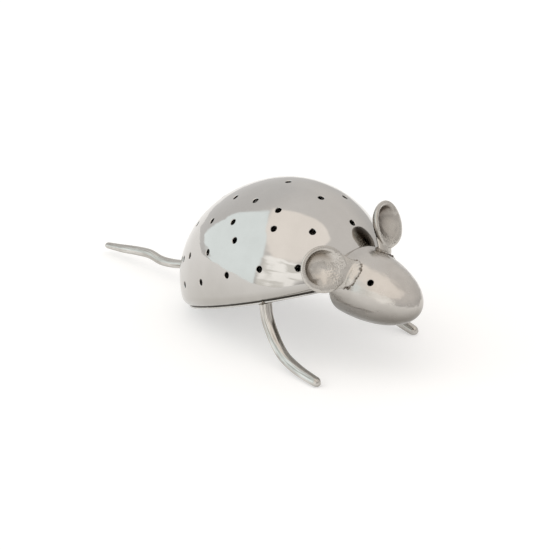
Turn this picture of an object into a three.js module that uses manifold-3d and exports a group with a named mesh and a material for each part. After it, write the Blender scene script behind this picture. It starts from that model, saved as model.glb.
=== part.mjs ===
// Polished metal mouse that holds cocktail picks. A pierced, hollow dome is closed by a flat base
// plate and stands nose-up on two bent front legs and its own back edge. A hollow egg-shaped head,
// two cast spoon-shaped ears and a round tail rod are brazed on. Nothing on it moves.
//
// Units are millimetres. X points to the nose, Y to the mouse's left and Z up. The origin is on
// the table, under the middle of the overall length.

import * as THREE from 'three';
import { mergeVertices } from 'three/addons/utils/BufferGeometryUtils.js';
import Module from 'manifold-3d';

const wasm = await Module();
wasm.setup();

// ---- Driving dimensions ------------------------------------------------------------------------

const degrees = Math.PI / 180;
const overallLength = 215.9;

// Dome: half an ellipsoid with a shorter front than back, tucked in below its widest line.
const bodyTilt = 19 * degrees;
const bodyMiddleX = 28.3;
const bodyFrontLength = 52.1;
const bodyRearLength = 61.1;
const bodyHalfWidth = 39.6;
const bodyRise = 44.3;
const widestHeight = 5.8;
const lipHeight = 1.3;
const lipShare = 0.95;
const sheetThickness = 1.2;
const plateThickness = 1;

// Pick holes by bearing from the nose and height above the base. They are drilled by eye, so the
// rows wander. Each of the side holes is repeated on the other side. The bearings of the single
// holes are to the mouse's left, or to its right where they are negative.
const pickHoleRadius = 1.35;
const drillLength = 8;
const sideHoles = [
  [40.5, 12.5], [62, 15], [83, 14.5], [103, 12.5], [122, 11.5], [141, 12], [160, 13],
  [49.5, 30.5], [77, 28.5], [98, 25], [117, 24], [127, 22.5], [146, 24], [166, 25],
  [81, 36], [105, 37.5], [130, 36.5], [155, 37],
  [63.5, 43], [96, 45.5], [140, 46],
];
const singleHoles = [[-26, 26], [5.5, 25.5], [-43.5, 37.5], [-3, 38.5], [25, 36], [-12, 47.5]];

// Head: an egg with a long nose and a blunt back.
const headPitch = 6.9 * degrees;
const headHeight = 35.3;
const headFrontLength = 35.8;
const headBackLength = 6.6;
const headHalfWidth = 16.6;
const headHalfHeight = 15.2;
const eyeAlong = 17.6;
const eyeAngle = 50 * degrees;
const eyeRadius = 1.4;

// Ears: oval bowls that open forwards, each on a flat neck with a thin foot that lies on the head.
// They are set by hand, the right one drooping on a broad neck and the left one pricked up.
const earHalfLength = 10.5;
const earHalfWidth = 10.1;
const earDepth = 5.2;
const earRim = 2.4;
const earFloor = 1.5;
const earHollowShift = 0.6;
const earReach = 13.5;
const earFacingRise = 0.15;
const neckThickness = 2.6;
const neckSink = 0.6;
const neckRootDepth = 8;
const neckFlareShare = 0.4;
const neckBowlShare = 0.7;
const footThickness = 0.8;
const rightEar = {
  side: -1,
  rootAlong: 8.6,
  rootAngle: 51 * degrees,
  lean: 74 * degrees,
  sweep: 22 * degrees,
  turn: 0,
  neckWidth: 14,
  rootWidth: 9.6,
  footAlong: 6.4,
  footAngle: 54 * degrees,
  footLength: 8.4,
  footWidth: 12.6,
};
const leftEar = {
  side: 1,
  rootAlong: 5.7,
  rootAngle: 38 * degrees,
  lean: 28 * degrees,
  sweep: 26 * degrees,
  turn: 11 * degrees,
  neckWidth: 9.6,
  rootWidth: 8.4,
  footAlong: 4.4,
  footAngle: 38 * degrees,
  footLength: 6.4,
  footWidth: 13,
};

// Legs: round rods bent by hand, from the base plate to the toe.
const legRadius = 2.75;
const toeThinning = 0.25;
const rightLeg = [
  [47.1, -31.4, 26.4],
  [49.8, -32.2, 18.3],
  [54.7, -33, 11.7],
  [62.3, -34.3, 6],
  [72.5, -35.6, 3.3],
  [87.8, -36.8, 1.6],
];
const leftLeg = [
  [42.5, 32.2, 24.8],
  [43.6, 33, 17.5],
  [46.4, 34, 12.2],
  [52, 35, 7.6],
  [60, 35.8, 4],
  [70.8, 36.4, 1.3],
];

// Tail: a round rod with a slight wave, thickest about its middle and thinner again near its tip.
const tailRadius = 2.2;
const tailMiddle = 0.55;
const tailThinning = 0.14;
const tailTaperShare = 1 / 4;
const tail = [
  [-28, 0, 11.8],
  [-46, 0, 9.9],
  [-56.5, 0, 7.9],
  [-64.5, 0, 7.2],
  [-73, 0, 8.1],
  [-81, 0, 7.3],
  [-94.5, 0, 5.2],
  [-overallLength / 2, 0, 3.5],
];

// The last part of each rod is rounded off, as a share of its length and of its radius.
const legTipShare = 1 / 20;
const legTipDrop = 0.6;
const tailTipShare = 1 / 20;
const tailTipDrop = 0.9;

// Clearance between pieces, and how far a braze bead spreads on either side of its joint. The bead
// under the head covers only what is lower than the throat.
const gap = 0.3;
const beadWidth = 1;
const throatDrop = 5;

// How far a cutting solid runs past the surface that it cuts.
const cutterMargin = 2;

// ---- Materials ---------------------------------------------------------------------------------

function metal(color, roughness) {
  return new THREE.MeshStandardMaterial({ color, roughness, metalness: 1 });
}

const polishedMetal = metal(0xc9c5bf, 0.08);
const sheetMetal = metal(0xb9b6b1, 0.3);
const castMetal = metal(0xb5afa7, 0.42);
const rodMetal = metal(0xbab5ad, 0.28);
const brazeMetal = metal(0x8d8378, 0.6);

// ---- Solids ------------------------------------------------------------------------------------

// A closed geometry becomes a solid once its shared vertices are merged. Triangles that collapse
// to a line, at the pole of a lathe, are dropped.
function toSolid(geometry, place = new THREE.Matrix4()) {
  const bare = geometry.clone().applyMatrix4(place);
  bare.deleteAttribute('normal');
  bare.deleteAttribute('uv');
  const merged = mergeVertices(bare);
  const corners = merged.index.array;
  const triangles = [];
  for (let i = 0; i < corners.length; i += 3) {
    const [a, b, c] = corners.slice(i, i + 3);
    if (a !== b && b !== c && c !== a) {
      triangles.push(a, b, c);
    }
  }
  return new wasm.Manifold(new wasm.Mesh({
    numProp: 3,
    vertProperties: new Float32Array(merged.attributes.position.array),
    triVerts: new Uint32Array(triangles),
  }));
}

// The mesh of a solid that was made in the mouse's frame, moved into the frame of its group.
function toMesh(name, solid, material, place = new THREE.Matrix4()) {
  const { numVert, numProp, vertProperties, triVerts } = solid.getMesh();
  const positions = new Float32Array(numVert * 3);
  for (let i = 0; i < numVert; i += 1) {
    positions.set(vertProperties.subarray(i * numProp, i * numProp + 3), i * 3);
  }
  const geometry = new THREE.BufferGeometry();
  geometry.setAttribute('position', new THREE.BufferAttribute(positions, 3));
  geometry.setIndex(new THREE.BufferAttribute(new Uint32Array(triVerts), 1));
  geometry.applyMatrix4(place.clone().invert());
  geometry.computeVertexNormals();
  const mesh = new THREE.Mesh(geometry, material);
  mesh.name = name;
  return mesh;
}

// ---- Places ------------------------------------------------------------------------------------

// The body stands on the back of its base plate, so its middle is up by that much of the tilt.
const bodyPlace = new THREE.Matrix4()
  .makeTranslation(bodyMiddleX, 0, lipShare * bodyRearLength * Math.sin(bodyTilt))
  .multiply(new THREE.Matrix4().makeRotationY(-bodyTilt));

// The nose tip is at the front of the overall length.
const headReach = Math.hypot(
  headFrontLength * Math.cos(headPitch),
  headHalfHeight * Math.sin(headPitch),
);
const headPlace = new THREE.Matrix4()
  .makeTranslation(overallLength / 2 - headReach, 0, headHeight)
  .multiply(new THREE.Matrix4().makeRotationY(headPitch));

// ---- Body --------------------------------------------------------------------------------------

// Width of the dome at a height above the base, as a share of its widest.
function domeShare(height) {
  const climb = Math.max(0, (height - widestHeight) / bodyRise);
  return Math.sqrt(1 - climb ** 2);
}

// Stretches a round shape of radius 1 to a half-ellipse in front and a longer one behind.
function stretch(geometry, grow) {
  const spots = geometry.attributes.position;
  for (let i = 0; i < spots.count; i += 1) {
    const reach = spots.getX(i) > 0 ? bodyFrontLength : bodyRearLength;
    spots.setX(i, spots.getX(i) * (reach + grow));
    spots.setY(i, spots.getY(i) * (bodyHalfWidth + grow));
  }
  return geometry;
}

// The dome filled in, larger all round by grow, with its lower edge at bottomHeight.
function domeGeometry(grow, bottomHeight) {
  const tuckSteps = 4;
  const riseSteps = 12;
  const profile = [new THREE.Vector2(0, bottomHeight)];
  for (let i = 0; i <= tuckSteps; i += 1) {
    const turn = (i / tuckSteps) * (Math.PI / 2);
    const radius = 1 - (1 - lipShare) * (1 - Math.sin(turn));
    const height = widestHeight - (widestHeight - bottomHeight) * Math.cos(turn);
    profile.push(new THREE.Vector2(radius, height));
  }
  for (let i = 1; i < riseSteps; i += 1) {
    const turn = (i / riseSteps) * (Math.PI / 2);
    const height = widestHeight + (bodyRise + grow) * Math.sin(turn);
    profile.push(new THREE.Vector2(Math.cos(turn), height));
  }
  profile.push(new THREE.Vector2(0, widestHeight + bodyRise + grow));
  const dome = new THREE.LatheGeometry(profile, 56);
  dome.rotateX(Math.PI / 2);
  return stretch(dome, grow);
}

// A drill for one pick hole, square to the dome's surface.
function pickDrill(bearing, height) {
  const climb = (height - widestHeight) / bodyRise;
  const share = domeShare(height);
  const angle = bearing * degrees;
  const reach = Math.cos(angle) > 0 ? bodyFrontLength : bodyRearLength;
  const spot = new THREE.Vector3(
    reach * share * Math.cos(angle),
    bodyHalfWidth * share * Math.sin(angle),
    height,
  );
  const outward = new THREE.Vector3(
    spot.x / reach ** 2,
    spot.y / bodyHalfWidth ** 2,
    climb / bodyRise,
  ).normalize();
  const drill = new THREE.CylinderGeometry(pickHoleRadius, pickHoleRadius, drillLength, 8);
  drill.applyQuaternion(new THREE.Quaternion().setFromUnitVectors(THREE.Object3D.DEFAULT_UP, outward));
  drill.translate(spot.x, spot.y, spot.z);
  return drill;
}

// The whole body with its plate, filled in, to cut or border what is fixed to it.
function bodyBlock(grow) {
  return toSolid(domeGeometry(grow, -grow), bodyPlace);
}

function makeBodyShell() {
  let shell = toSolid(domeGeometry(0, lipHeight), bodyPlace);
  shell = shell.subtract(
    toSolid(domeGeometry(-sheetThickness, lipHeight - cutterMargin / 2), bodyPlace),
  );
  for (const [bearing, height] of sideHoles) {
    shell = shell.subtract(toSolid(pickDrill(bearing, height), bodyPlace));
    shell = shell.subtract(toSolid(pickDrill(-bearing, height), bodyPlace));
  }
  for (const [bearing, height] of singleHoles) {
    shell = shell.subtract(toSolid(pickDrill(bearing, height), bodyPlace));
  }
  return shell;
}

function makeBasePlate() {
  const outline = new THREE.Shape();
  outline.absarc(0, 0, lipShare, 0, 2 * Math.PI);
  const plate = new THREE.ExtrudeGeometry(outline, {
    depth: plateThickness,
    bevelEnabled: false,
    curveSegments: 56,
  });
  return toSolid(stretch(plate, 0), bodyPlace);
}

// ---- Head --------------------------------------------------------------------------------------

function headGeometry(grow) {
  const steps = 18;
  const wide = headHalfWidth + grow;
  const profile = [];
  for (let i = 0; i <= steps; i += 1) {
    const turn = (i / steps) * Math.PI;
    const reach = (turn < Math.PI / 2 ? headBackLength : headFrontLength) + grow;
    const radius = i % steps === 0 ? 0 : wide * Math.sin(turn);
    profile.push(new THREE.Vector2(radius, -reach * Math.cos(turn)));
  }
  const egg = new THREE.LatheGeometry(profile, 32);
  egg.rotateZ(-Math.PI / 2);
  egg.scale(1, 1, (headHalfHeight + grow) / wide);
  return egg;
}

// A spot on the head's surface in the head's own frame, by distance ahead of its middle and angle
// down from its top, on one side.
function headSpot(along, angle, side) {
  const share = Math.sqrt(1 - (along / headFrontLength) ** 2);
  return new THREE.Vector3(
    along,
    side * headHalfWidth * share * Math.sin(angle),
    headHalfHeight * share * Math.cos(angle),
  );
}

// The frame on the head's surface with Y square to it and X towards the nose.
function headFacet(along, angle, side) {
  const spot = headSpot(along, angle, side);
  const outward = new THREE.Vector3(
    spot.x / headFrontLength ** 2,
    spot.y / headHalfWidth ** 2,
    spot.z / headHalfHeight ** 2,
  ).normalize();
  const around = new THREE.Vector3().crossVectors(new THREE.Vector3(1, 0, 0), outward).normalize();
  const ahead = new THREE.Vector3().crossVectors(outward, around);
  return new THREE.Matrix4().makeBasis(ahead, outward, around).setPosition(spot);
}

function eyeDrill(side) {
  return new THREE.CylinderGeometry(eyeRadius, eyeRadius, drillLength, 12)
    .applyMatrix4(headFacet(eyeAlong, eyeAngle, side));
}

function headBlock(grow) {
  return toSolid(headGeometry(grow), headPlace);
}

function makeHeadShell() {
  return headBlock(0)
    .subtract(headBlock(-sheetThickness))
    .subtract(bodyBlock(gap))
    .subtract(toSolid(eyeDrill(1), headPlace))
    .subtract(toSolid(eyeDrill(-1), headPlace));
}

// ---- Ears --------------------------------------------------------------------------------------

// An ear's own frame: origin at its root on the head, Y out along the neck, Z where the bowl faces.
function earPlace({ side, rootAlong, rootAngle, lean, sweep, turn }) {
  const outward = new THREE.Vector3(
    -Math.sin(sweep),
    side * Math.sin(lean) * Math.cos(sweep),
    Math.cos(lean) * Math.cos(sweep),
  );
  const ahead = new THREE.Vector3(Math.cos(turn), Math.sin(turn), earFacingRise);
  const across = new THREE.Vector3().crossVectors(outward, ahead).normalize();
  const facing = new THREE.Vector3().crossVectors(across, outward);
  return new THREE.Matrix4()
    .makeBasis(across, outward, facing)
    .setPosition(headSpot(rootAlong, rootAngle, side).applyMatrix4(headPlace));
}

// Half an oval ball, flat side up at the rim, with a cylinder above it where top is over 0.
function bowlGeometry(halfWidth, halfLength, depth, reach, top) {
  const steps = 6;
  const profile = [];
  for (let i = 0; i <= steps; i += 1) {
    const turn = (i / steps) * (Math.PI / 2);
    profile.push(new THREE.Vector2(halfWidth * Math.sin(turn), -depth * Math.cos(turn)));
  }
  if (top > 0) {
    profile.push(new THREE.Vector2(halfWidth, top));
  }
  profile.push(new THREE.Vector2(0, top));
  const bowl = new THREE.LatheGeometry(profile, 28);
  bowl.rotateX(Math.PI / 2);
  bowl.scale(1, halfLength / halfWidth, 1);
  bowl.translate(0, reach, 0);
  return bowl;
}

// The flat neck, which widens from its root to the bowl, larger all round by grow.
function neckGeometry({ neckWidth, rootWidth }, grow) {
  const wide = neckWidth / 2 + grow;
  const narrow = rootWidth / 2 + grow;
  const flareReach = earReach * neckFlareShare;
  const bowlReach = earReach * neckBowlShare;
  const outline = new THREE.Shape();
  outline.moveTo(-narrow, -neckRootDepth);
  outline.lineTo(narrow, -neckRootDepth);
  outline.lineTo(narrow, 0);
  outline.quadraticCurveTo(narrow, flareReach, wide, bowlReach);
  outline.lineTo(-wide, bowlReach);
  outline.quadraticCurveTo(-narrow, flareReach, -narrow, 0);
  const neck = new THREE.ExtrudeGeometry(outline, {
    depth: neckThickness + 2 * grow,
    bevelEnabled: false,
    curveSegments: 5,
  });
  neck.translate(0, 0, -neckSink - neckThickness - grow);
  return neck;
}

// An oval column square to the head, with the outline of the ear's foot.
function footColumn({ side, footAlong, footAngle, footLength, footWidth }, grow) {
  const column = new THREE.CylinderGeometry(1, 1, drillLength + 2 * cutterMargin, 24);
  column.scale(footLength / 2 + grow, 1, footWidth / 2 + grow);
  column.applyMatrix4(headFacet(footAlong, footAngle, side));
  return toSolid(column, headPlace);
}

function makeEar(ear) {
  const place = earPlace(ear);
  const bowl = bowlGeometry(earHalfWidth, earHalfLength, earDepth, earReach, 0);
  const hollow = bowlGeometry(
    earHalfWidth - earRim,
    earHalfLength - earRim,
    earDepth - earFloor,
    earReach + earHollowShift,
    cutterMargin,
  );
  return toSolid(bowl, place)
    .add(toSolid(neckGeometry(ear, 0), place))
    .subtract(toSolid(hollow, place))
    .add(footColumn(ear, 0).intersect(headBlock(gap + footThickness)))
    .subtract(headBlock(gap))
    .subtract(bodyBlock(gap));
}

// ---- Legs and tail -----------------------------------------------------------------------------

// A round rod bent along a curve, with its radius given by the share of the way along it.
function rodGeometry(curve, radiusAt, steps, sides) {
  const rod = new THREE.CylinderGeometry(1, 1, 1, sides, steps);
  const frames = curve.computeFrenetFrames(steps);
  const corners = rod.attributes.position;
  const corner = new THREE.Vector3();
  for (let i = 0; i < corners.count; i += 1) {
    corner.fromBufferAttribute(corners, i);
    const step = Math.round((corner.y + 0.5) * steps);
    const radius = radiusAt(step / steps);
    const spot = curve.getPointAt(step / steps)
      .addScaledVector(frames.binormals[step], corner.x * radius)
      .addScaledVector(frames.normals[step], corner.z * radius);
    corners.setXYZ(i, spot.x, spot.y, spot.z);
  }
  return rod;
}

// How much of a rod's radius is left near its end, where its last tipShare is rounded off.
function roundOff(share, tipShare, drop) {
  const intoTip = Math.max(0, 1 - (1 - share) / tipShare);
  return Math.sqrt(1 - drop * intoTip ** 2);
}

// The legs thin towards the toe and end bluntly.
function legGeometry(points, grow) {
  const curve = new THREE.CatmullRomCurve3(points.map((spot) => new THREE.Vector3(...spot)));
  const radiusAt = (share) => legRadius * (1 - toeThinning * share ** 2)
    * roundOff(share, legTipShare, legTipDrop) + grow;
  return rodGeometry(curve, radiusAt, 40, 14);
}

// Each leg is butted against the base plate, and its foot is filed flat where it stands.
function makeLeg(points) {
  const size = overallLength;
  const tableTop = new THREE.BoxGeometry(size, size, size).translate(0, 0, -size / 2);
  return toSolid(legGeometry(points, 0))
    .subtract(bodyBlock(gap))
    .subtract(toSolid(tableTop));
}

// The tail thins towards both of its ends, the more so next to its tip.
function tailGeometry(grow) {
  const curve = new THREE.CatmullRomCurve3(tail.map((spot) => new THREE.Vector3(...spot)));
  const fromMiddle = (share) => Math.abs(share - tailMiddle) / (1 - tailMiddle);
  const intoTaper = (share) => Math.max(0, 1 - (1 - share) / tailTaperShare);
  const radiusAt = (share) => tailRadius * (1 - tailThinning * (fromMiddle(share) + intoTaper(share)))
    * roundOff(share, tailTipShare, tailTipDrop) + grow;
  return rodGeometry(curve, radiusAt, 40, 12);
}

function makeTail() {
  return toSolid(tailGeometry(0)).subtract(bodyBlock(gap));
}

// ---- Brazed joints -----------------------------------------------------------------------------

// The bead round a joint: what lies near both pieces, outside of either.
function bead(first, second) {
  return first(beadWidth)
    .intersect(second(beadWidth))
    .subtract(first(gap))
    .subtract(second(gap));
}

const footBlock = (ear) => (grow) => footColumn(ear, grow);
const legBlock = (points) => (grow) => toSolid(legGeometry(points, grow));
const tailBlock = (grow) => toSolid(tailGeometry(grow));

function makeEarBead(ear) {
  return bead(footBlock(ear), headBlock)
    .subtract(toSolid(neckGeometry(ear, gap), earPlace(ear)))
    .subtract(bodyBlock(gap));
}

// The head is joined to the dome round its throat only.
function makeHeadBead() {
  const size = overallLength;
  const throat = new THREE.BoxGeometry(size, size, size)
    .translate(0, 0, -size / 2 - throatDrop);
  return bead(headBlock, bodyBlock).intersect(toSolid(throat, headPlace));
}

// ---- Assembly ----------------------------------------------------------------------------------

function groupAt(place, meshes) {
  const group = new THREE.Group();
  group.applyMatrix4(place);
  group.add(...meshes);
  return group;
}

const mouse = new THREE.Group();
mouse.add(
  groupAt(bodyPlace, [
    toMesh('body_shell', makeBodyShell(), polishedMetal, bodyPlace),
    toMesh('base_plate', makeBasePlate(), sheetMetal, bodyPlace),
  ]),
  groupAt(headPlace, [
    toMesh('head_shell', makeHeadShell(), polishedMetal, headPlace),
    toMesh('braze_head', makeHeadBead(), brazeMetal, headPlace),
    toMesh('ear_right', makeEar(rightEar), castMetal, headPlace),
    toMesh('ear_left', makeEar(leftEar), castMetal, headPlace),
    toMesh('braze_ear_right', makeEarBead(rightEar), brazeMetal, headPlace),
    toMesh('braze_ear_left', makeEarBead(leftEar), brazeMetal, headPlace),
  ]),
  toMesh('leg_right', makeLeg(rightLeg), rodMetal),
  toMesh('leg_left', makeLeg(leftLeg), rodMetal),
  toMesh('braze_leg_right', bead(legBlock(rightLeg), bodyBlock), brazeMetal),
  toMesh('braze_leg_left', bead(legBlock(leftLeg), bodyBlock), brazeMetal),
  toMesh('tail_rod', makeTail(), rodMetal),
  toMesh('braze_tail', bead(tailBlock, bodyBlock), brazeMetal),
);

export default mouse;
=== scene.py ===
import math
import random

import bmesh
import bpy
import numpy as np
from mathutils import Matrix, Vector, noise


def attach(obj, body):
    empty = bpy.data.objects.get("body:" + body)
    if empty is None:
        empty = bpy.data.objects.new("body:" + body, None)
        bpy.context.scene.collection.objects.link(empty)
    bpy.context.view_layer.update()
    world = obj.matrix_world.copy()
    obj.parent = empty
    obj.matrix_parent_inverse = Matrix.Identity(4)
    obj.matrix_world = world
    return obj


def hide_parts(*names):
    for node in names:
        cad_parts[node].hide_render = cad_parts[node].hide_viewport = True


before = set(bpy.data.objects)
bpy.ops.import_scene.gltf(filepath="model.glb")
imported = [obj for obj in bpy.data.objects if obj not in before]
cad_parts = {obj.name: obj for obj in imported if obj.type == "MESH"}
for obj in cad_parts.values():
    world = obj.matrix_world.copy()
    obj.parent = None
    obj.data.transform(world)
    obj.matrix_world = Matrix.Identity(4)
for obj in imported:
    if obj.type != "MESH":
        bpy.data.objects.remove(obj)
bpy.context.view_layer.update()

# Polished metal mouse that holds cocktail picks. Shapes are worked out in millimetres, in the row's
# frame: X to the nose, Y to the mouse's left and Z up from the table.

MM = 0.001
FULL_TURN = 2 * math.pi
UP = Vector((0, 0, 1))

# Dome and base plate. A hole is placed by its bearing from the nose, in degrees, and its height above
# the base plane. SIDE_HOLES are drilled on both sides.
TILT = math.radians(19)
MIDDLE_X = 28.3
FRONT_LENGTH = 52.1
REAR_LENGTH = 61.1
HALF_WIDTH = 39.6
RISE = 44.3
WIDEST_HEIGHT = 5.8
LIP_HEIGHT = 1.5
LIP_SHARE = 0.95
SHEET = 1.2
PLATE = 0.95
PLATE_EASE = 0.25
ROUND_STEPS = 224
HOLLOW_STEPS = 160
DRILL_DEPTH = 4
DRILL_FLARE = 0.3
PICK_HOLE_RADIUS = 1.4
SIDE_HOLES = [
    (40.5, 12.5), (62, 15), (83, 14.5), (103, 12.5), (122, 11.5), (141, 12), (160, 13),
    (49.5, 30.5), (77, 28.5), (98, 25), (117, 24), (127, 22.5), (146, 24), (166, 25),
    (81, 36), (105, 37.5), (130, 36.5), (155, 37),
    (63.5, 43), (96, 45.5), (140, 46),
]
SINGLE_HOLES = [(-26, 26), (5.5, 25.5), (-43.5, 37.5), (-3, 38.5), (25, 36), (-12, 47.5)]

# Head
PITCH = math.radians(6.9)
NOSE_X = 107.95
HEAD_HEIGHT = 35.3
HEAD_FRONT = 35.8
HEAD_BACK = 6.6
HEAD_HALF_WIDTH = 16.6
HEAD_HALF_HEIGHT = 15.2
EYE_ALONG = 17.6
EYE_ANGLE = math.radians(50)
EYE_RADIUS = 1.4

# Ears. EAR_WIDTH and EAR_LENGTH are half sizes, and the bowl's middle is EAR_REACH out from the root.
# The hollow's middle is EAR_SHIFT further out, and the rim's inner edge is pulled EAR_PULL towards the
# steep side. At the neck the rim dips by RIM_DIP. The neck lies NECK_DEPTH below the rim, sinks
# further at the bowl, and starts inside the head.
EAR_WIDTH = 10.1
EAR_LENGTH = 10.5
EAR_DEPTH = 5.2
EAR_RIM = 2.6
EAR_HOLLOW = 3.9
EAR_SHIFT = 1.4
EAR_PULL = 0.9
EAR_REACH = 13.5
RIM_HEIGHT = 0.5
RIM_DIP = 1.2
NECK_START = -2.5
NECK_OVERLAP = 3.4
NECK_DEPTH = 2
NECK_SINK = 1.5
NECK_HALF_THICKNESS = 1.45
PAD_SINK = 0.4
PAD_RAG = 0.2

# Legs and tail, as the middle lines of their rods
ROD_SIDES = 40
ROD_STEPS = 150
ROD_GRAIN_SCALE = 0.1
LEG_RADIUS = 2.75
RIGHT_LEG = [
    (47.1, -31.4, 26.4),
    (49.8, -32.2, 18.3),
    (54.7, -33, 11.7),
    (62.3, -34.3, 6),
    (72.5, -35.6, 3.3),
    (87.8, -36.8, 1.6),
]
LEFT_LEG = [
    (42.5, 32.2, 24.8),
    (43.6, 33, 17.5),
    (46.4, 34, 12.2),
    (52, 35, 7.6),
    (60, 35.8, 4),
    (70.8, 36.4, 1.3),
]
TAIL_RADIUS = 2.2
TAIL = [
    (-28, 0, 11.8),
    (-46, 0, 9.9),
    (-56.5, 0, 7.9),
    (-64.5, 0, 7.2),
    (-73, 0, 8.1),
    (-81, 0, 7.3),
    (-94.5, 0, 5.2),
    (-107.7, 0, 3.5),
]

# Gap between pieces that touch
GAP = 0.3

# Frames of the dome, with its base plane at Z 0, and of the head, with its middle at the origin
BODY = (
    Matrix.Translation((MIDDLE_X, 0, LIP_SHARE * REAR_LENGTH * math.sin(TILT)))
    @ Matrix.Rotation(-TILT, 4, "Y")
)
HEAD = (
    Matrix.Translation((
        NOSE_X - math.hypot(HEAD_FRONT * math.cos(PITCH), HEAD_HALF_HEIGHT * math.sin(PITCH)),
        0,
        HEAD_HEIGHT,
    ))
    @ Matrix.Rotation(PITCH, 4, "Y")
)


# ---- Materials ---------------------------------------------------------------------------------

# The Mix node has a set of sockets for each kind of data. These are the ones for colours.
COLOUR_A = 6
COLOUR_B = 7
COLOUR_RESULT = 2


def link(tree, source, target):
    tree.links.new(source, target)


def noise_node(tree, coordinates, scale, detail, roughness=0.5):
    node = tree.nodes.new("ShaderNodeTexNoise")
    node.inputs["Scale"].default_value = scale
    node.inputs["Detail"].default_value = detail
    node.inputs["Roughness"].default_value = roughness
    link(tree, coordinates, node.inputs["Vector"])
    return node.outputs["Fac"]


def spread(tree, value, low, high, start=0.3, end=0.7):
    """A value that goes from low to high as the given one goes from start to end."""
    node = tree.nodes.new("ShaderNodeMapRange")
    node.inputs["From Min"].default_value = start
    node.inputs["From Max"].default_value = end
    node.inputs["To Min"].default_value = low
    node.inputs["To Max"].default_value = high
    link(tree, value, node.inputs["Value"])
    return node.outputs["Result"]


def dot_node(tree, vector, way):
    node = tree.nodes.new("ShaderNodeVectorMath")
    node.operation = "DOT_PRODUCT"
    node.inputs[1].default_value = way
    link(tree, vector, node.inputs[0])
    return node.outputs["Value"]


def product(tree, first, second):
    node = tree.nodes.new("ShaderNodeMath")
    node.operation = "MULTIPLY"
    link(tree, first, node.inputs[0])
    link(tree, second, node.inputs[1])
    return node.outputs["Value"]


def bump(tree, height, distance, below=None):
    node = tree.nodes.new("ShaderNodeBump")
    node.inputs["Strength"].default_value = 1
    node.inputs["Distance"].default_value = distance
    link(tree, height, node.inputs["Height"])
    if below is not None:
        link(tree, below, node.inputs["Normal"])
    return node.outputs["Normal"]


def stretched(tree, coordinates, scale):
    node = tree.nodes.new("ShaderNodeMapping")
    node.inputs["Scale"].default_value = scale
    link(tree, coordinates, node.inputs["Vector"])
    return node.outputs["Vector"]


def two_tones(tree, value, low, high, start, end):
    """A colour that goes from low at start to high at end."""
    ramp = tree.nodes.new("ShaderNodeValToRGB")
    ramp.color_ramp.elements[0].position = start
    ramp.color_ramp.elements[0].color = (*low, 1)
    ramp.color_ramp.elements[1].position = end
    ramp.color_ramp.elements[1].color = (*high, 1)
    link(tree, value, ramp.inputs["Fac"])
    return ramp.outputs["Color"]


def multiplied(tree, first, second):
    """Two colours multiplied."""
    node = tree.nodes.new("ShaderNodeMix")
    node.data_type = "RGBA"
    node.blend_type = "MULTIPLY"
    node.inputs["Factor"].default_value = 1
    link(tree, first, node.inputs[COLOUR_A])
    link(tree, second, node.inputs[COLOUR_B])
    return node.outputs[COLOUR_RESULT]


def metal(name, dull, bright, roughness, waves, grain, along=None, metallic=1.0):
    """Metal with cloudy colour and polish, slow waves and a fine grain.

    roughness is (lowest, highest), each wave is (scale per metre along X, Y and Z, depth in metres),
    grain is (scale, depth in metres), and along is the stretch of the clouds and the grain on a rod's
    own surface coordinates. Without it the grain's scale is per metre.
    """
    material = bpy.data.materials.new(name)
    material.use_nodes = True
    tree = material.node_tree
    shader = tree.nodes["Principled BSDF"]
    shader.inputs["Metallic"].default_value = metallic
    places = tree.nodes.new("ShaderNodeTexCoord")
    spots = places.outputs["Object"]
    fine = stretched(tree, places.outputs["UV"], along) if along else spots

    cloud_scale = 8 if along else 70
    clouds = noise_node(tree, fine, cloud_scale, 5, 0.6)
    colour = two_tones(tree, clouds, dull, bright, 0.35, 0.65)
    link(tree, colour, shader.inputs["Base Color"])

    smudges = noise_node(tree, fine, grain[0] * 0.3, 6, 0.65)
    link(tree, spread(tree, smudges, *roughness), shader.inputs["Roughness"])

    normal = None
    for scale, depth in waves:
        normal = bump(tree, noise_node(tree, stretched(tree, spots, scale), 1, 2), depth, normal)
    normal = bump(tree, noise_node(tree, fine, grain[0], 4), grain[1], normal)
    link(tree, normal, shader.inputs["Normal"])
    return material


def tint(material, colour):
    """Multiplies the base colour that the material has so far."""
    tree = material.node_tree
    socket = tree.nodes["Principled BSDF"].inputs["Base Color"]
    link(tree, multiplied(tree, socket.links[0].from_socket, colour), socket)


def paint_shade_away(material, way, start, end, tone):
    """Paints shade onto faces that look away from a direction.

    start and end are the cosines of the angles to that direction where the tone is full and is gone.
    """
    tree = material.node_tree
    normal = tree.nodes.new("ShaderNodeNewGeometry").outputs["Normal"]
    share = spread(tree, dot_node(tree, normal, way), 0, 1, start, end)
    tint(material, two_tones(tree, share, tone, (1, 1, 1), 0, 1))


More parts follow.
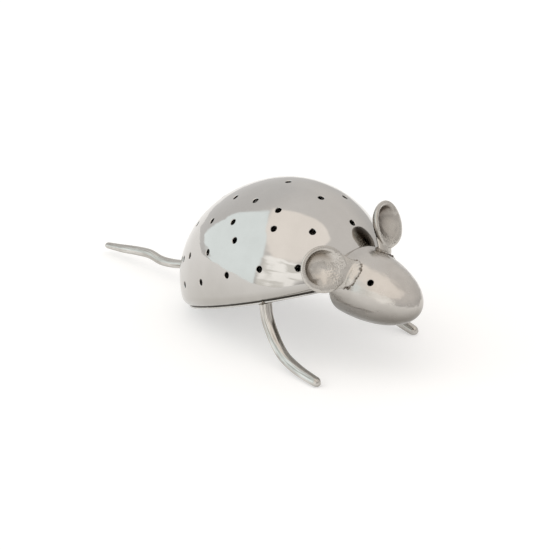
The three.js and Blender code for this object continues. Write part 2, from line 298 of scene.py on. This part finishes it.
def ear_metal(name, ear, dark_way, shade_tone, middle):
    """Cast metal with painted shade on one wall of its hollow and on the ear's back.

    dark_way is the angle of that wall round the bowl, and middle is the painted shade's share in the
    hollow's middle.
    """
    material = metal(
        name, (0.44, 0.415, 0.38), (0.58, 0.555, 0.52), (0.2, 0.36), [((160, 160, 160), 0.0002)],
        (1100, 0.00005),
    )
    tree = material.node_tree
    local = tree.nodes.new("ShaderNodeMapping")
    local.vector_type = "TEXTURE"
    local.inputs["Location"].default_value = ear @ Vector((0, EAR_REACH + EAR_SHIFT, 0)) * MM
    local.inputs["Rotation"].default_value = ear.to_euler()
    local.inputs["Scale"].default_value = (EAR_WIDTH * MM, EAR_LENGTH * MM, 1)
    link(tree, tree.nodes.new("ShaderNodeTexCoord").outputs["Object"], local.inputs["Vector"])
    spot = local.outputs["Vector"]
    reach = tree.nodes.new("ShaderNodeVectorMath")
    reach.operation = "LENGTH"
    link(tree, spot, reach.inputs[0])
    # Painted shade: a ring in the hollow and the steep wall make a dark crease of shade.
    ring = tree.nodes.new("ShaderNodeValToRGB")
    stops = ring.color_ramp
    stops.elements[0].position = 0.2
    stops.elements[0].color = (middle, middle, middle, 1)
    stops.elements[1].position = 0.78
    stops.elements[1].color = (0, 0, 0, 1)
    stops.elements.new(0.6).color = (1, 1, 1, 1)
    link(tree, reach.outputs["Value"], ring.inputs["Fac"])
    towards_wall = dot_node(tree, spot, (math.cos(dark_way), math.sin(dark_way), 0))
    wall = spread(tree, towards_wall, 0.12, 1, -0.35, 0.3)
    painted_crease_shade = product(tree, ring.outputs["Color"], wall)
    tint(material, two_tones(tree, painted_crease_shade, (1, 1, 1), shade_tone, 0, 1))
    # Painted shade on the ear's back.
    paint_shade_away(material, ear.to_3x3() @ UP, -0.85, -0.1, (0.34, 0.31, 0.28))
    return material


POLISHED = metal(
    "polished_metal", (0.545, 0.53, 0.51), (0.575, 0.56, 0.54), (0.04, 0.09),
    [((30, 30, 30), 0.0011), ((16, 16, 120), 0.00035)], (900, 0.000002),
)
HEAD_POLISHED = metal(
    "head_metal", (0.495, 0.47, 0.44), (0.56, 0.535, 0.505), (0.16, 0.3),
    [((36, 36, 36), 0.001), ((22, 170, 170), 0.0006)], (900, 0.000004),
)
# Painted shade on the faces of the dome that look down.
paint_shade_away(POLISHED, UP, -0.15, 0.3, (0.8, 0.79, 0.77))
# Painted shade on the underside of the head.
paint_shade_away(HEAD_POLISHED, UP, -0.6, 0.2, (0.42, 0.41, 0.39))
SHEET_METAL = metal(
    "sheet_metal", (0.52, 0.51, 0.49), (0.61, 0.60, 0.58), (0.16, 0.32),
    [((60, 60, 60), 0.0001)], (1500, 0.00001),
)
ROD = metal(
    "rod_metal", (0.33, 0.31, 0.28), (0.64, 0.62, 0.59), (0.12, 0.26),
    [((70, 70, 70), 0.0004)], (40, 0.00001), along=(1.1, 0.09, 1),
)
BRAZE = metal(
    "braze", (0.07, 0.055, 0.045), (0.32, 0.285, 0.245), (0.3, 0.6),
    [((400, 400, 400), 0.0003)], (2200, 0.0001), metallic=0.9,
)
# Near-black colour for the ring in the seam, a painted shadow of the gap.
SEAM_SHADOW = metal(
    "painted_seam_shadow", (0.05, 0.045, 0.04), (0.12, 0.105, 0.09), (0.45, 0.7),
    [((200, 200, 200), 0.0002)], (1500, 0.0001), metallic=0.8,
)


# ---- Meshes ------------------------------------------------------------------------------------

def place_in_scene(name, data):
    item = bpy.data.objects.new(name, data)
    bpy.context.scene.collection.objects.link(item)
    return item


def solid(name, points, faces):
    """An object from points in millimetres, with its faces turned outwards."""
    mesh = bpy.data.meshes.new(name)
    mesh.from_pydata([Vector(point) * MM for point in points], [], faces)
    shape = bmesh.new()
    shape.from_mesh(mesh)
    bmesh.ops.recalc_face_normals(shape, faces=shape.faces)
    shape.to_mesh(mesh)
    shape.free()
    mesh.shade_smooth()
    return place_in_scene(name, mesh)


def revolved(name, profile, segments, place):
    """A closed surface round an axis that both ends of the profile touch.

    place turns a spot of the profile and an angle round the axis into a point.
    """
    turns = [FULL_TURN * i / segments for i in range(segments)]
    points = [place(*profile[0], 0)]
    for spot in profile[1:-1]:
        points.extend(place(*spot, turn) for turn in turns)
    points.append(place(*profile[-1], 0))
    top = len(points) - 1
    last = top - segments
    faces = []
    for i in range(segments):
        j = (i + 1) % segments
        faces.append((0, 1 + j, 1 + i))
        for start in range(1, last, segments):
            faces.append((start + i, start + j, start + segments + j, start + segments + i))
        faces.append((last + i, last + j, top))
    return solid(name, points, faces)


def settle(piece):
    """Applies the piece's modifiers to its mesh."""
    graph = bpy.context.evaluated_depsgraph_get()
    mesh = bpy.data.meshes.new_from_object(piece.evaluated_get(graph))
    piece.modifiers.clear()
    piece.data = mesh


def join(items):
    """Moves the meshes of several objects into the first one."""
    shape = bmesh.new()
    for item in items:
        shape.from_mesh(item.data)
    shape.to_mesh(items[0].data)
    shape.free()
    for item in items[1:]:
        bpy.data.objects.remove(item)
    return items[0]


def carve(piece, cutter):
    """Cuts the cutter's shape out of the piece and removes the cutter."""
    modifier = piece.modifiers.new("carve", "BOOLEAN")
    modifier.operation = "DIFFERENCE"
    modifier.solver = "MANIFOLD"
    modifier.object = cutter
    settle(piece)
    bpy.data.objects.remove(cutter)


def fuse(piece, voxel, smoothing):
    """Merges overlapping closed shapes into one skin, with its corners eased."""
    remesh = piece.modifiers.new("skin", "REMESH")
    remesh.mode = "VOXEL"
    remesh.voxel_size = voxel * MM
    remesh.use_smooth_shade = True
    smooth = piece.modifiers.new("ease", "SMOOTH")
    smooth.factor = 0.5
    smooth.iterations = smoothing
    settle(piece)
    piece.data.shade_smooth()


def shade(piece, normal_at):
    """Gives the faces that follow a true surface the normals of that surface.

    Faces of holes and of cut edges keep their own.
    """
    mesh = piece.data
    surface = [normal_at(vertex.co / MM) for vertex in mesh.vertices]
    normals = []
    for polygon in mesh.polygons:
        for corner in polygon.vertices:
            normal = surface[corner]
            match = normal.dot(polygon.normal)
            if abs(match) < 0.9:
                normals.append(polygon.normal.copy())
            else:
                normals.append(normal if match > 0 else -normal)
    mesh.shade_smooth()
    mesh.normals_split_custom_set(normals)


def finish_piece(piece, material, slot, *nodes):
    """Gives the piece its material and its place on the one body. The slot is not used."""
    piece.data.materials.clear()
    piece.data.materials.append(material)
    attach(piece, "root")
    if nodes:
        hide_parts(*nodes)


# ---- Body --------------------------------------------------------------------------------------

def dome_share(height):
    """Width of the dome at a height above its base plane, as a share of its widest."""
    climb = min(1, (height - WIDEST_HEIGHT) / RISE)
    if climb > 0:
        return math.sqrt(1 - climb ** 2)
    dip = max(-1, (height - WIDEST_HEIGHT) / (WIDEST_HEIGHT - LIP_HEIGHT))
    return 1 - (1 - LIP_SHARE) * (1 - math.sqrt(1 - dip ** 2))


def body_reach(forward):
    return FRONT_LENGTH if forward > 0 else REAR_LENGTH


def body_spot(share, height, grow, angle):
    """A spot by share of the dome's widest outline, height above its base plane and bearing."""
    reach = body_reach(math.cos(angle)) + grow
    return BODY @ Vector((
        share * reach * math.cos(angle),
        share * (HALF_WIDTH + grow) * math.sin(angle),
        height,
    ))


def dome_profile(grow, bottom):
    """From the middle of the bottom, out round the lip and up to the top."""
    lip_steps = 12
    steps = 56
    profile = [(0, bottom, grow)]
    for i in range(lip_steps + 1):
        turn = i / lip_steps * math.pi / 2
        share = 1 - (1 - LIP_SHARE) * (1 - math.sin(turn))
        profile.append((share, WIDEST_HEIGHT - (WIDEST_HEIGHT - bottom) * math.cos(turn), grow))
    for i in range(1, steps):
        turn = i / steps * math.pi / 2
        profile.append((math.cos(turn), WIDEST_HEIGHT + (RISE + grow) * math.sin(turn), grow))
    profile.append((0, WIDEST_HEIGHT + RISE + grow, grow))
    return profile


def dome_normal(point):
    """Outward normal of the dome's outer surface nearest a point on it."""
    spot = BODY.inverted() @ point
    height = spot.z
    climb = (height - WIDEST_HEIGHT) / RISE
    if climb > 0:
        rise = climb / RISE
    else:
        depth = WIDEST_HEIGHT - LIP_HEIGHT
        dip = min(0.999, (WIDEST_HEIGHT - height) / depth)
        share = dome_share(height)
        rise = -share * (1 - LIP_SHARE) * dip / (depth * math.sqrt(1 - dip ** 2))
    normal = Vector((
        spot.x / body_reach(spot.x) ** 2,
        spot.y / HALF_WIDTH ** 2,
        rise,
    ))
    return (BODY.to_3x3() @ normal).normalized()


def in_body(point):
    spot = BODY.inverted() @ point
    if spot.z < 0:
        return False
    share = dome_share(spot.z)
    return math.hypot(spot.x / body_reach(spot.x), spot.y / HALF_WIDTH) < share


def drill(spot, outward, radius):
    """A drill with a small flare where it breaks the surface."""
    turned = outward.to_track_quat("Z", "Y").to_matrix().to_4x4()
    turned.translation = spot

    def place(wide, height, angle):
        return turned @ Vector((wide * math.cos(angle), wide * math.sin(angle), height))

    flare = radius + DRILL_FLARE
    profile = [
        (0, -DRILL_DEPTH), (radius, -DRILL_DEPTH), (radius, -0.25), (flare, 0.06), (flare, 2), (0, 2),
    ]
    return revolved("drill", profile, 28, place)


def make_dome():
    shell = revolved("dome_shell", dome_profile(0, LIP_HEIGHT), ROUND_STEPS, body_spot)
    hollow = dome_profile(-SHEET, LIP_HEIGHT - 1)
    carve(shell, revolved("hollow", hollow, HOLLOW_STEPS, body_spot))
    bearings = [(sign * bearing, height) for bearing, height in SIDE_HOLES for sign in (-1, 1)]
    drills = []
    for bearing, height in bearings + SINGLE_HOLES:
        spot = body_spot(dome_share(height), height, 0, math.radians(bearing))
        drills.append(drill(spot, dome_normal(spot), PICK_HOLE_RADIUS))
    carve(shell, join(drills))
    shade(shell, dome_normal)
    finish_piece(shell, POLISHED, "polished_metal", "body_shell")


def make_plate():
    """The flat plate with eased edges, and a near-black ring in the seam above it, a painted shadow of
    the gap.
    """
    flat = LIP_SHARE - 0.006
    profile = [
        (0, 0, 0), (0.5, 0, 0), (flat, 0, 0), (LIP_SHARE, PLATE_EASE, 0),
        (LIP_SHARE, PLATE - PLATE_EASE, 0), (flat, PLATE, 0), (0.5, PLATE, 0), (0, PLATE, 0),
    ]
    plate = revolved("bottom_plate", profile, ROUND_STEPS, body_spot)
    plate.data.shade_flat()
    finish_piece(plate, SHEET_METAL, "sheet_metal", "base_plate")

    inner = LIP_SHARE - 0.03
    outer = LIP_SHARE - 0.007
    corners = [(inner, PLATE), (outer, PLATE), (outer, LIP_HEIGHT), (inner, LIP_HEIGHT)]
    points = []
    for share, height in corners:
        for i in range(ROUND_STEPS):
            points.append(body_spot(share, height, 0, FULL_TURN * i / ROUND_STEPS))
    faces = []
    for k in range(len(corners)):
        here = k * ROUND_STEPS
        beside = (k + 1) % len(corners) * ROUND_STEPS
        for i in range(ROUND_STEPS):
            j = (i + 1) % ROUND_STEPS
            faces.append((here + i, here + j, beside + j, beside + i))
    # A near-black ring in the seam, painted as the shadow of the gap between dome and plate.
    seam = solid("seam_shadow_ring", points, faces)
    finish_piece(seam, SEAM_SHADOW, "braze")


# ---- Head --------------------------------------------------------------------------------------

def head_reach(along):
    return HEAD_FRONT if along > 0 else HEAD_BACK


def head_spot(along, angle, side=1, lift=0):
    """A spot on the head by distance ahead of its middle and angle down from its top."""
    share = math.sqrt(max(0, 1 - (along / head_reach(along)) ** 2))
    return HEAD @ Vector((
        along,
        side * (HEAD_HALF_WIDTH + lift) * share * math.sin(angle),
        (HEAD_HALF_HEIGHT + lift) * share * math.cos(angle),
    ))


def head_normal(point):
    spot = HEAD.inverted() @ point
    normal = Vector((
        spot.x / head_reach(spot.x) ** 2,
        spot.y / HEAD_HALF_WIDTH ** 2,
        spot.z / HEAD_HALF_HEIGHT ** 2,
    ))
    return (HEAD.to_3x3() @ normal).normalized()


def head_block(name, grow, steps, segments):
    """The head's egg as a closed solid, grown or shrunk all round."""
    profile = []
    for i in range(steps + 1):
        turn = i / steps * math.pi
        reach = head_reach(-math.cos(turn)) + grow
        profile.append((math.sin(turn) if 0 < i < steps else 0, -reach * math.cos(turn)))

    def place(share, along, angle):
        return HEAD @ Vector((
            along,
            (HEAD_HALF_WIDTH + grow) * share * math.sin(angle),
            (HEAD_HALF_HEIGHT + grow) * share * math.cos(angle),
        ))

    return revolved(name, profile, segments, place)


def make_head():
    shell = head_block("head_egg", 0, 96, 144)
    carve(shell, head_block("hollow", -SHEET, 64, 96))
    carve(shell, revolved("notch", dome_profile(GAP, -GAP), HOLLOW_STEPS, body_spot))
    for side in (-1, 1):
        spot = head_spot(EYE_ALONG, EYE_ANGLE, side)
        carve(shell, drill(spot, head_normal(spot), EYE_RADIUS))
    shade(shell, head_normal)
    finish_piece(shell, HEAD_POLISHED, "polished_metal", "head_shell")


# ---- Ears --------------------------------------------------------------------------------------

def ear_frame(side, along, angle, lean, sweep, turn):
    """Frame at the ear's root: X across the ear, Y out along the neck, Z where the bowl faces.

    lean is how far the neck leans outwards from upright, sweep how far it leans back, and turn how
    far the bowl is turned about the neck. All angles here are in degrees.
    """
    angle, lean, sweep, turn = (math.radians(value) for value in (angle, lean, sweep, turn))
    outward = Vector((
        -math.sin(sweep),
        side * math.sin(lean) * math.cos(sweep),
        math.cos(lean) * math.cos(sweep),
    ))
    across = outward.cross(Vector((math.cos(turn), math.sin(turn), 0.15))).normalized()
    facing = across.cross(outward)
    turned = Matrix((across, outward, facing)).transposed().to_4x4()
    turned.translation = head_spot(along, angle, side)
    return turned


def ear_bowl(ear, taper, steep_way):
    """A spoon: its hollow drops off its rim on the steep side and runs out level into the neck.

    Each spot of the profile is (distance from the axis, height, share of the way in from the rim to
    the middle of the hollow), up the back, over the rim and down the hollow. The taper narrows the
    bowl towards the neck.
    """
    profile = [(0, -EAR_DEPTH, 0)]
    for i in range(1, 21):
        turn = i / 20 * math.pi / 2
        profile.append((EAR_WIDTH * math.sin(turn), -EAR_DEPTH * math.cos(turn), 0))
    for i in range(1, 8):
        turn = i / 8 * math.pi
        wide = EAR_WIDTH - EAR_RIM / 2 * (1 - math.cos(turn))
        profile.append((wide, RIM_HEIGHT * math.sin(turn), 0))
    for i in range(20, 0, -1):
        profile.append(((EAR_WIDTH - EAR_RIM) * i / 20, 0, 1 - i / 20))
    profile.append((0, 0, 1))

    def place(wide, height, shift, angle):
        neckward = max(0, -math.sin(angle))
        gentle = max(neckward, -math.cos(angle - steep_way))
        narrowing = 1 - taper * neckward ** 2
        pull = 0
        if shift:
            floor_power = 3.2 - 1.6 * gentle
            wall_power = 0.8 + 0.9 * gentle
            height = -EAR_HOLLOW * (1 - (1 - shift) ** floor_power) ** wall_power
        if height > -0.001 or shift:
            height -= RIM_DIP * neckward ** 3 * (1 - shift)
            pull = EAR_PULL * min(1, (EAR_WIDTH - wide) / EAR_RIM)
        out = EAR_SHIFT * shift + wide * EAR_LENGTH / EAR_WIDTH * math.sin(angle)
        return ear @ Vector((
            wide * math.cos(angle) * narrowing + pull * math.cos(steep_way),
            EAR_REACH + out + pull * math.sin(steep_way),
            height,
        ))

    return revolved("bowl", profile, 80, place)


def ear_neck(ear, root_half, bowl_half):
    """A flat neck with round edges, from inside the head to the wall of the bowl."""
    start = NECK_START
    end = EAR_REACH - EAR_LENGTH + NECK_OVERLAP
    steps = 20
    profile = [(start, 0)]
    for i in range(steps + 1):
        share = i / steps
        half = root_half + (bowl_half - root_half) * share ** 2
        profile.append((start + (end - start) * share, half))
    profile.append((end, 0))

    def place(out, half, angle):
        thick = NECK_HALF_THICKNESS if half else 0
        edge = abs(math.cos(angle)) ** 0.8 * math.copysign(1, math.cos(angle))
        sink = NECK_SINK * max(0, (out - start) / (end - start) - 0.6)
        return ear @ Vector((half * edge, out, -NECK_DEPTH - sink + thick * math.sin(angle)))

    return revolved("neck", profile, 44, place)


def pad_spot(side, pad, share, turn, lift):
    """A spot of an ear's foot by share of the way to its edge, turn round it and lift off the head.

    pad is (distance ahead of the head's middle, angle down from its top in degrees, reach ahead,
    reach round the head in degrees).
    """
    along, angle, reach, reach_round = pad
    return head_spot(
        along + reach * share * math.cos(turn),
        math.radians(angle + reach_round * share * math.sin(turn)),
        side,
        lift,
    )


def ear_pad(side, pad, thickness):
    """The foot of the casting, a low lobe that lies on the head with a ragged edge."""
    profile = [(0, thickness)]
    for i in range(1, 15):
        share = i / 14
        profile.append((share, thickness * (1 - 0.5 * share ** 4)))
    profile.append((0.98, -PAD_SINK))
    profile.append((0, -PAD_SINK))

    def place(share, lift, turn):
        rag = noise.noise(Vector((3.8 * math.cos(turn), 3.8 * math.sin(turn), side)))
        return pad_spot(side, pad, share * (1 + PAD_RAG * rag), turn, lift)

    return revolved("pad", profile, 80, place)


def roughen_hollow(piece, ear):
    """Faint ripples in the hollow, and casting pits where it runs into the neck."""
    edge = 0.95
    pit_middle = EAR_REACH - EAR_LENGTH + 4
    inverse = ear.inverted()
    facing = ear.to_3x3() @ UP
    for vertex in piece.data.vertices:
        spot = inverse @ (vertex.co / MM)
        out = math.hypot(spot.x / EAR_WIDTH, (spot.y - EAR_REACH) / EAR_LENGTH)
        if out > edge or spot.z < -EAR_HOLLOW - 0.3:
            continue
        depth = min(1, (edge - out) * 5)
        ripples = noise.noise(spot * 0.4) * 0.22
        pitted = max(0, 1 - abs(spot.y - pit_middle) / 5)
        pits = pitted * (noise.noise(spot * 1.9) * 0.4 + noise.noise(spot * 4.1) * 0.3)
        vertex.co += facing * (ripples + pits) * depth * MM
    piece.data.update()


def make_ear(name, node, side, ear, taper, dark_way, shade_tone, middle, pad, thickness, widths):
    """An ear, its neck and its foot fused into one casting.

    The bowl's wall with painted shade is also its steep one. widths are the neck's half widths, at its
    root and at the bowl.
    """
    dark_way = math.radians(dark_way)
    bowl = ear_bowl(ear, taper, dark_way)
    piece = join([bowl, ear_neck(ear, *widths), ear_pad(side, pad, thickness)])
    piece.name = name
    fuse(piece, 0.26, 5)
    roughen_hollow(piece, ear)
    material = ear_metal(name + "_metal", ear, dark_way, shade_tone, middle)
    finish_piece(piece, material, "cast_metal", node)


# ---- Rods --------------------------------------------------------------------------------------

def smooth_line(points, count):
    """Points evenly along a smooth curve through the given ones, and the curve's length."""
    knots = np.array(points, float)
    steps = np.linalg.norm(np.diff(knots, axis=0), axis=1)
    marks = np.concatenate([[0], np.cumsum(steps)])
    slopes = np.gradient(knots, marks, axis=0)
    dense = np.linspace(0, marks[-1], 600)
    line = []
    for mark in dense:
        i = min(len(steps) - 1, int(np.searchsorted(marks, mark, "right")) - 1)
        t = (mark - marks[i]) / steps[i]
        line.append(
            (2 * t ** 3 - 3 * t ** 2 + 1) * knots[i]
            + (t ** 3 - 2 * t ** 2 + t) * steps[i] * slopes[i]
            + (3 * t ** 2 - 2 * t ** 3) * knots[i + 1]
            + (t ** 3 - t ** 2) * steps[i] * slopes[i + 1]
        )
    line = np.array(line)
    run = np.concatenate([[0], np.cumsum(np.linalg.norm(np.diff(line, axis=0), axis=1))])
    even = np.linspace(0, run[-1], count)
    return np.stack([np.interp(even, run, line[:, k]) for k in range(3)], 1), run[-1]


def rod(name, points, radius_at, seed):
    """A hand-worked round rod with faint flats along it, and its own surface coordinates."""
    sides = ROD_SIDES
    line, length = smooth_line(points, ROD_STEPS)
    ahead = np.gradient(line, axis=0)
    ahead /= np.linalg.norm(ahead, axis=1, keepdims=True)
    side_way = np.cross(ahead, [0, 0, 1])
    side_way /= np.linalg.norm(side_way, axis=1, keepdims=True)
    up_way = np.cross(side_way, ahead)
    verts = []
    for k in range(ROD_STEPS):
        share = k / (ROD_STEPS - 1)
        for i in range(sides):
            turn = FULL_TURN * i / sides
            flats = 0.045 * math.cos(3 * turn + seed) + 0.03 * math.cos(5 * turn + 2 * seed)
            spot = Vector((math.cos(turn), math.sin(turn), share * length / 9 + seed))
            radius = radius_at(share) * (1 + flats + 0.03 * noise.noise(spot))
            offset = side_way[k] * math.cos(turn) + up_way[k] * math.sin(turn)
            verts.append(Vector(line[k] + radius * offset))
    ends = len(verts)
    verts.append(Vector(line[0]))
    verts.append(Vector(line[-1]))
    faces = []
    for i in range(sides):
        j = (i + 1) % sides
        faces.append((ends, j, i))
        for k in range(ROD_STEPS - 1):
            here = k * sides
            faces.append((here + i, here + j, here + sides + j, here + sides + i))
        faces.append((ends - sides + i, ends - sides + j, ends + 1))
    piece = solid(name, verts, faces)
    around = [i % sides / sides for i in range(ends)] + [0, 0]
    run = length * ROD_GRAIN_SCALE
    along = [i // sides / (ROD_STEPS - 1) * run for i in range(ends)] + [0, run]
    layer = piece.data.uv_layers.new(name="UVMap")
    for loop in piece.data.loops:
        fold = math.cos(FULL_TURN * around[loop.vertex_index])
        layer.data[loop.index].uv = (fold, along[loop.vertex_index])
    return piece


def blunt(share, start, drop):
    """Rounds off the end of a rod, from start to its tip."""
    return math.sqrt(1 - drop * max(0, (share - start) / (1 - start)) ** 2)


def make_leg(name, node, points, seed):
    """A leg that thins towards its toe, kept under the base plate and above the table."""
    def radius_at(share):
        return LEG_RADIUS * (1 - 0.25 * share ** 2) * blunt(share, 0.955, 0.85)

    piece = rod(name, points, radius_at, seed)
    inverse = BODY.inverted()
    for vertex in piece.data.vertices:
        spot = inverse @ (vertex.co / MM)
        spot.z = min(spot.z, -GAP)
        vertex.co = BODY @ spot * MM
        vertex.co.z = max(vertex.co.z, 0)
    finish_piece(piece, ROD, "rod_metal", node)


def make_tail():
    def radius_at(share):
        middle = 1 - 0.14 * abs(share - 0.55) / 0.45
        tip = 1 - 0.25 * max(0, share - 0.8) / 0.2
        return TAIL_RADIUS * middle * tip * blunt(share, 0.97, 0.9)

    piece = rod("tail", TAIL, radius_at, 2.4)
    finish_piece(piece, ROD, "rod_metal", "tail_rod")


# ---- Brazed joints -----------------------------------------------------------------------------

def bead(name, path, radius, seed, node):
    """A lumpy line of braze along a path."""
    chance = random.Random(seed)
    shape = bmesh.new()
    for spot in path:
        size = radius * chance.uniform(0.6, 1.6)
        shift = Vector([chance.gauss(0, 0.4) * radius for _ in range(3)])
        bmesh.ops.create_icosphere(
            shape, subdivisions=2, radius=size * MM, matrix=Matrix.Translation((spot + shift) * MM),
        )
    mesh = bpy.data.meshes.new(name)
    shape.to_mesh(mesh)
    shape.free()
    piece = place_in_scene(name, mesh)
    fuse(piece, 0.16, 2)
    finish_piece(piece, BRAZE, "braze", node)


def rod_ring(points, radius):
    """Where a rod's skin meets the body, found by steps along the rod from outside."""
    root = Vector(points[0])
    ahead = (root - Vector(points[1])).normalized()
    side_way = ahead.orthogonal().normalized()
    up_way = ahead.cross(side_way)
    count = 28
    start = 6
    step = 0.05
    ring = []
    for i in range(count):
        turn = FULL_TURN * i / count
        spot = root - ahead * start + radius * (side_way * math.cos(turn) + up_way * math.sin(turn))
        for _ in range(200):
            if in_body(spot):
                break
            spot = spot + ahead * step
        ring.append(spot)
    return ring


def throat_line():
    """Where the underside of the head meets the dome."""
    steps = 24
    line = []
    for i in range(steps + 1):
        angle = math.radians(130 + 100 * i / steps)
        along = 20
        while along > -HEAD_BACK and not in_body(head_spot(along, angle)):
            along -= 0.1
        line.append(head_spot(along, angle))
    return line


# ---- Put together ------------------------------------------------------------------------------

make_dome()
make_plate()
make_head()

# Feet of the ears, as pad_spot takes them
RIGHT_PAD = (6.6, 54, 4.7, 24.5)
LEFT_PAD = (4.4, 38, 3, 22)

make_ear(
    "right_ear", "ear_right", -1, ear_frame(-1, 8.6, 51, 74, 22, 0), taper=0, dark_way=60,
    shade_tone=(0.45, 0.4, 0.35), middle=0, pad=RIGHT_PAD, thickness=1.5, widths=(5.6, 8.2),
)
make_ear(
    "left_ear", "ear_left", 1, ear_frame(1, 5.7, 38, 28, 26, 11), taper=0.2, dark_way=170,
    shade_tone=(0.16, 0.125, 0.1), middle=0.8, pad=LEFT_PAD, thickness=0.6, widths=(4.2, 5.4),
)
make_leg("right_leg", "leg_right", RIGHT_LEG, 0.6)
make_leg("left_leg", "leg_left", LEFT_LEG, 1.7)
make_tail()

for name, node, side, pad, seed in (
    ("right_ear_braze", "braze_ear_right", -1, RIGHT_PAD, 3),
    ("left_ear_braze", "braze_ear_left", 1, LEFT_PAD, 5),
):
    count = 44
    edge = [pad_spot(side, pad, 1.02, FULL_TURN * i / count, 0.1) for i in range(count)]
    bead(name, edge, 0.4, seed, node)
bead("right_leg_braze", rod_ring(RIGHT_LEG, LEG_RADIUS), 0.42, 7, "braze_leg_right")
bead("left_leg_braze", rod_ring(LEFT_LEG, LEG_RADIUS), 0.42, 8, "braze_leg_left")
bead("tail_braze", rod_ring(TAIL, TAIL_RADIUS + 0.1), 0.55, 9, "braze_tail")
bead("throat_braze", throat_line(), 0.6, 11, "braze_head")


# ---- Camera and floor --------------------------------------------------------------------------

camera = place_in_scene("camera", bpy.data.cameras.new("camera"))
bpy.context.scene.camera = camera
camera.data.lens = 166.5
camera.data.sensor_width = 36
bearing = math.radians(48.72)
height_angle = math.radians(19.65)
toward = Vector((
    math.sin(bearing) * math.cos(height_angle),
    -math.cos(bearing) * math.cos(height_angle),
    math.sin(height_angle),
))
middle = Vector((0.0283, 0, 0.0305))
distance = 1.1224
camera.location = middle + toward * distance
aim = Vector((0.02466, -0.00662, 0.02589))
camera.rotation_euler = (camera.location - aim).to_track_quat("Z", "Y").to_euler()

floor_mesh = bpy.data.meshes.new("floor")
floor_mesh.from_pydata([(-3, -3, 0), (3, -3, 0), (3, 3, 0), (-3, 3, 0)], [], [(0, 1, 2, 3)])
floor = place_in_scene("floor", floor_mesh)
floor.location.z = -0.0001
floor_material = bpy.data.materials.new("pale_floor")
floor_material.use_nodes = True
floor_shader = floor_material.node_tree.nodes["Principled BSDF"]
floor_shader.inputs["Base Color"].default_value = (0.68, 0.68, 0.68, 1)
floor_shader.inputs["Roughness"].default_value = 0.9
floor_shader.inputs["Specular IOR Level"].default_value = 0.1
floor_shader.inputs["Emission Color"].default_value = (1, 1, 1, 1)
floor_shader.inputs["Emission Strength"].default_value = 0.4
floor_mesh.materials.append(floor_material)


# ---- Light -------------------------------------------------------------------------------------

# A pale studio lights the mouse from all round, with soft cards that its metal mirrors.
GLOW = (0.9, 0.88, 0.86)
BACKDROP = (0.79, 0.78, 0.77)
WARM = (1.24, 1.17, 1.1)
COOL = (1.15, 1.24, 1.25)

# Corners of the cards as (azimuth, elevation) in degrees, seen from the mouse. Azimuth turns from the
# nose to the mouse's left.
GLOW_CARD = ((125, 30), (-135, 30), (-85, 75), (75, 75))
BACKDROP_CARD = ((140, -10), (-165, -10), (-150, 50), (130, 50))
CURTAIN_CARD = ((-104, -9), (-78, -9), (-54, 8), (-57, 24), (-80, 30), (-104, 27))
WARM_CARD = (
    (-158, 52), (-131, 47), (-103, 24), (-64, 27), (-34, 35), (8, 56), (90, 84), (-172, 74),
)
COOL_CARD = (
    (-180, 6), (-146, -2), (-106, -5), (-105, 24), (-113, 40), (-131, 49), (-157, 54), (-168, 35),
)


def direction(azimuth, elevation):
    around = math.radians(azimuth)
    up = math.radians(elevation)
    return Vector((math.cos(around) * math.cos(up), math.sin(around) * math.cos(up), math.sin(up)))


def soft_card(tree, coordinates, below, corners, colour, softness):
    """Mixes a card into the studio. The softness of its sides is in degrees.

    Its corners go along its lower side with the azimuth growing, and back along its upper side.
    """
    mask = None
    ways_to = [direction(*corner) for corner in corners]
    for first, second in zip(ways_to, ways_to[1:] + ways_to[:1]):
        inward = first.cross(second).normalized()
        side = tree.nodes.new("ShaderNodeMapRange")
        side.interpolation_type = "SMOOTHSTEP"
        side.inputs["From Min"].default_value = -math.radians(softness) / 2
        side.inputs["From Max"].default_value = math.radians(softness) / 2
        link(tree, dot_node(tree, coordinates, inward), side.inputs["Value"])
        share = side.outputs["Result"]
        mask = share if mask is None else product(tree, mask, share)
    mix = tree.nodes.new("ShaderNodeMix")
    mix.data_type = "RGBA"
    link(tree, mask, mix.inputs["Factor"])
    link(tree, below, mix.inputs[COLOUR_A])
    if isinstance(colour, tuple):
        mix.inputs[COLOUR_B].default_value = (*colour, 1)
    else:
        link(tree, colour, mix.inputs[COLOUR_B])
    return mix.outputs[COLOUR_RESULT]


world = bpy.data.worlds.new("studio")
bpy.context.scene.world = world
world.use_nodes = True
tree = world.node_tree
sky = tree.nodes["Background"]
ways = tree.nodes.new("ShaderNodeTexCoord").outputs["Generated"]
height = dot_node(tree, ways, UP)
studio = two_tones(tree, height, (0.66, 0.645, 0.63), (0.88, 0.85, 0.82), 0.05, 0.6)
folds = noise_node(tree, stretched(tree, ways, (2.6, 2.6, 10)), 1, 2)
curtain = two_tones(tree, folds, (0.98, 0.96, 0.91), (1.42, 1.4, 1.36), 0.44, 0.54)
for corners, colour, softness in (
    (GLOW_CARD, GLOW, 45),
    (BACKDROP_CARD, BACKDROP, 30),
    (CURTAIN_CARD, curtain, 6),
    (WARM_CARD, WARM, 5),
    (COOL_CARD, COOL, 2),
):
    studio = soft_card(tree, ways, studio, corners, colour, softness)
link(tree, studio, sky.inputs["Color"])
sky.inputs["Strength"].default_value = 1
bpy.context.scene.view_settings.view_transform = "Standard"
